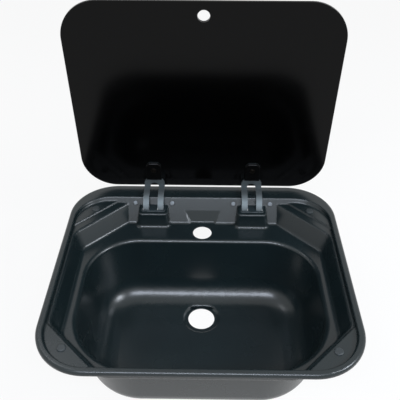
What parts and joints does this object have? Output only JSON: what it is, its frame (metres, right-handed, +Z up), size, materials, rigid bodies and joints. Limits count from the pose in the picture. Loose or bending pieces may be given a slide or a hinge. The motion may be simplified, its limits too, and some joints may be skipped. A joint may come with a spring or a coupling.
{
  "type": "caravan sink with glass lid",
  "caption": "Inset steel sink for a vehicle's kitchen: a deep bowl below a tap ledge, and a hinged black glass lid that closes flush with the rim.",
  "frame": {"origin": "middle of the rim in plan, at the level of the worktop that the rim rests on", "axes": "+X to the right, +Y to the hinged back edge, +Z up; the lid stands open"},
  "size_m": [0.42, 0.3719, 0.4613],
  "materials": {
    "enamelled_steel": "pressed steel with a smooth black stove enamel",
    "seal_foam": "closed-cell sealing foam",
    "black_glass": "tempered glass, black right through, polished",
    "arm_steel": "stainless steel strip, satin",
    "black_moulding": "moulded black plastic, fine matt",
    "black_rubber": "moulded black rubber",
    "nylon": "natural nylon, as moulded",
    "bright_fasteners": "bright zinc-plated steel",
    "bracket_steel": "zinc-plated steel, dull"
  },
  "bodies": {
    "sink": {"bracket_nuts": "bracket_steel", "bracket_screws": "bright_fasteners", "friction_washers_left": "nylon", "friction_washers_right": "nylon", "hinge_bracket_left": "bracket_steel", "hinge_bracket_right": "bracket_steel", "hinge_insert_left": "black_moulding", "hinge_insert_right": "black_moulding", "hinge_pin_left": "bright_fasteners", "hinge_pin_right": "bright_fasteners", "lid_bumper_front_left": "black_rubber", "lid_bumper_front_right": "black_rubber", "lid_bumper_rear_left": "black_rubber", "lid_bumper_rear_right": "black_rubber", "pin_clip_left": "bracket_steel", "pin_clip_right": "bracket_steel", "rim_seal": "seal_foam", "sink_shell": "enamelled_steel"},
    "lid": {"arm_cover_left": "black_moulding", "arm_cover_right": "black_moulding", "cap_nuts": "bright_fasteners", "clamp_bush_left": "nylon", "clamp_bush_right": "nylon", "clamp_screws": "bright_fasteners", "glass_gasket_left": "black_rubber", "glass_gasket_right": "black_rubber", "glass_lid": "black_glass", "hinge_arm_left": "arm_steel", "hinge_arm_right": "arm_steel", "hinge_bushes_left": "nylon", "hinge_bushes_right": "nylon"}
  },
  "joints": [
    {"name": "lid_hinge", "type": "hinge", "parent": "sink", "child": "lid", "pos_m": [0, 0.16377, -0.01199], "axis": [1, 0, 0], "range_deg": [0, 87]}
  ]
}
